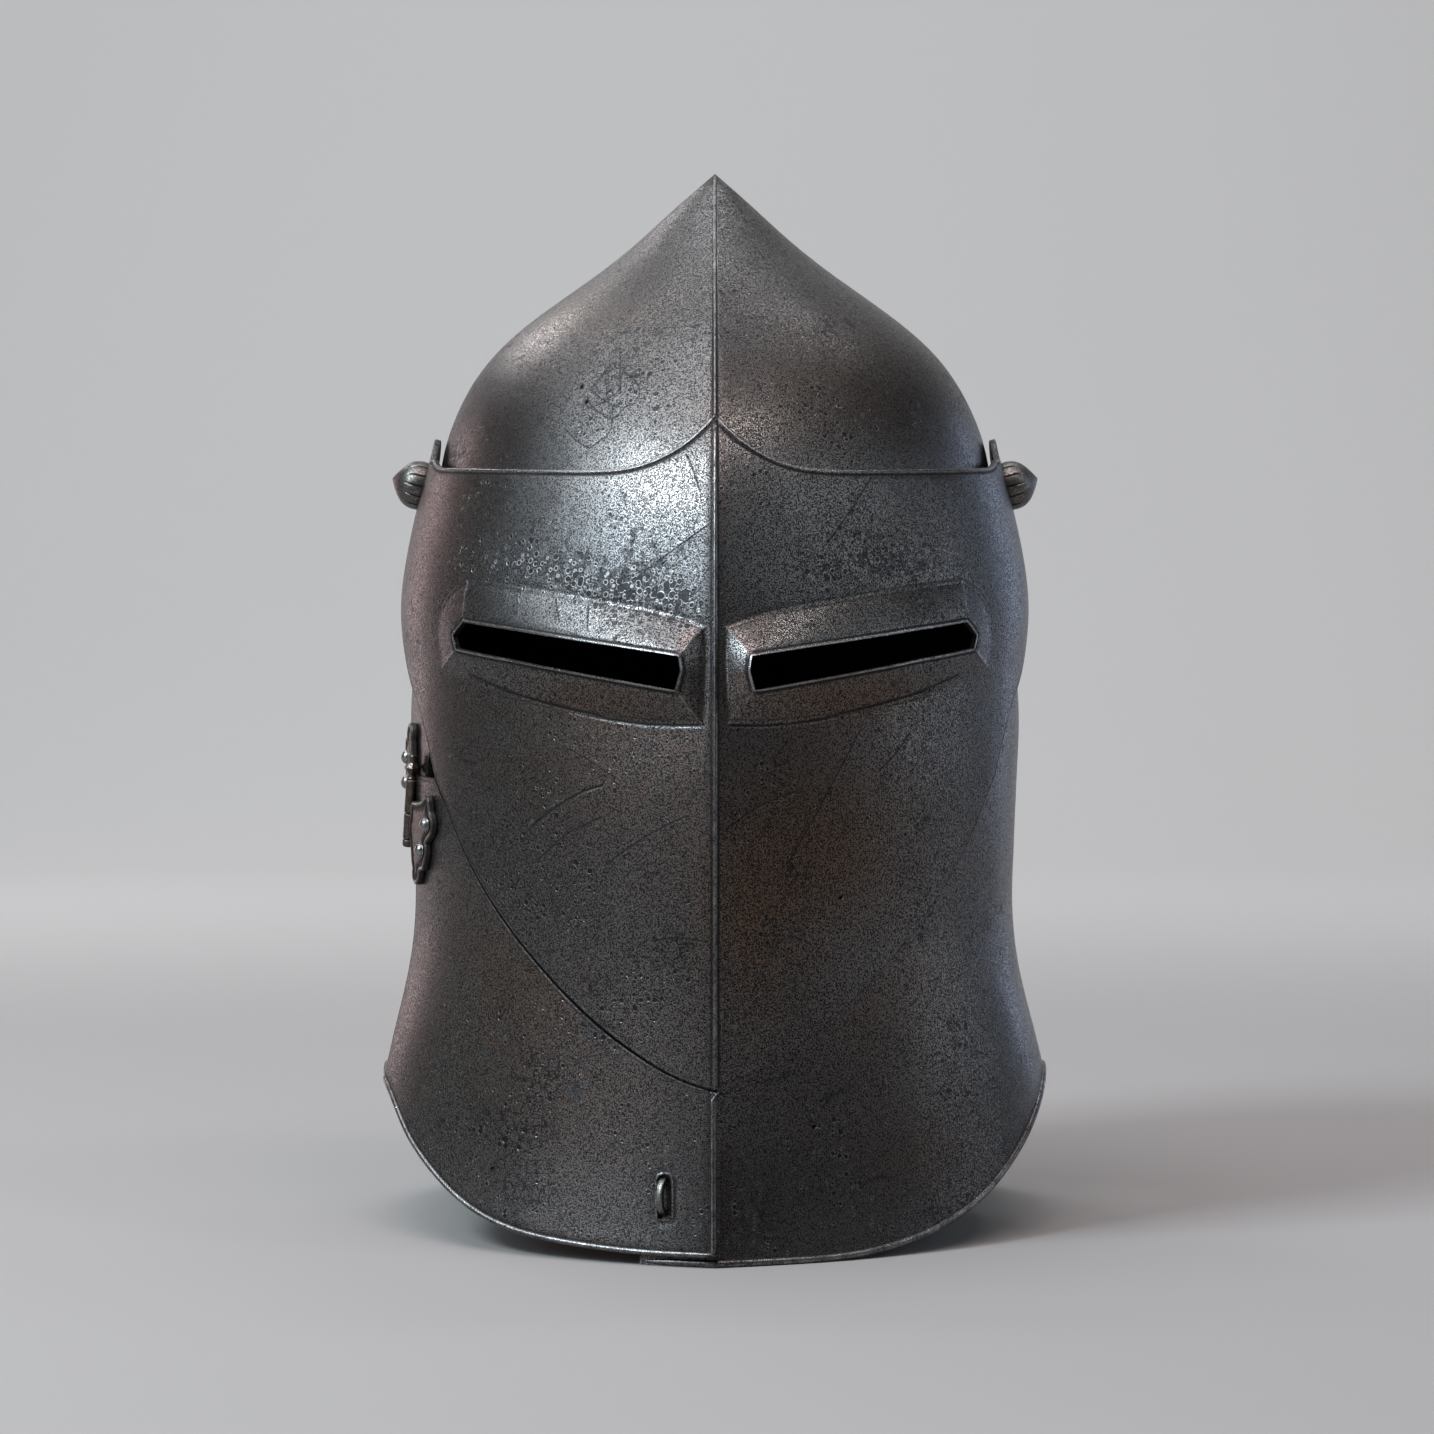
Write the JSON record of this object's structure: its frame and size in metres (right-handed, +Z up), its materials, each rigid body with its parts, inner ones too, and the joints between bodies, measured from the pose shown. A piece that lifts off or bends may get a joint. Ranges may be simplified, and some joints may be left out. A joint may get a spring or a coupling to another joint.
{
  "type": "visored bascinet",
  "caption": "Steel helmet with a pointed skull, a keeled visor with eye slots that lifts on side pivots, and a hinged throat door.",
  "frame": {"origin": "on the floor, in the middle under the helmet as it stands on its front and back rims", "axes": "+Z up to the skull's point, -Y the way the face looks, +X the wearer's left"},
  "size_m": [0.245, 0.2528, 0.3845],
  "materials": {
    "pitted_steel": "old dark steel, pitted and mottled, with lighter worn edges",
    "worn_fittings": "worn bright steel with brown patina in the hollows"
  },
  "bodies": {
    "shell": {"skull": "pitted_steel", "hinge_leaf_rear": "worn_fittings", "hinge_pin": "worn_fittings", "leaf_rivet_rear_1": "worn_fittings", "leaf_rivet_rear_2": "worn_fittings", "staple": "worn_fittings"},
    "visor_body": {"visor": "pitted_steel", "pivot_bolt_left": "worn_fittings", "pivot_bolt_right": "worn_fittings"},
    "door_body": {"throat_door": "pitted_steel", "hinge_leaf_front": "worn_fittings", "leaf_rivet_front_1": "worn_fittings", "leaf_rivet_front_2": "worn_fittings"}
  },
  "joints": [
    {"name": "visor_lift", "type": "hinge", "parent": "shell", "child": "visor_body", "pos_m": [0, 0.012, 0.2683], "axis": [-1, 0, 0], "range_deg": [0, 65]},
    {"name": "throat_door_swing", "type": "hinge", "parent": "shell", "child": "door_body", "pos_m": [-0.1108, -0.024, 0.15], "axis": [-0.0691, 0.148, -0.9866], "range_deg": [0, 100]}
  ]
}
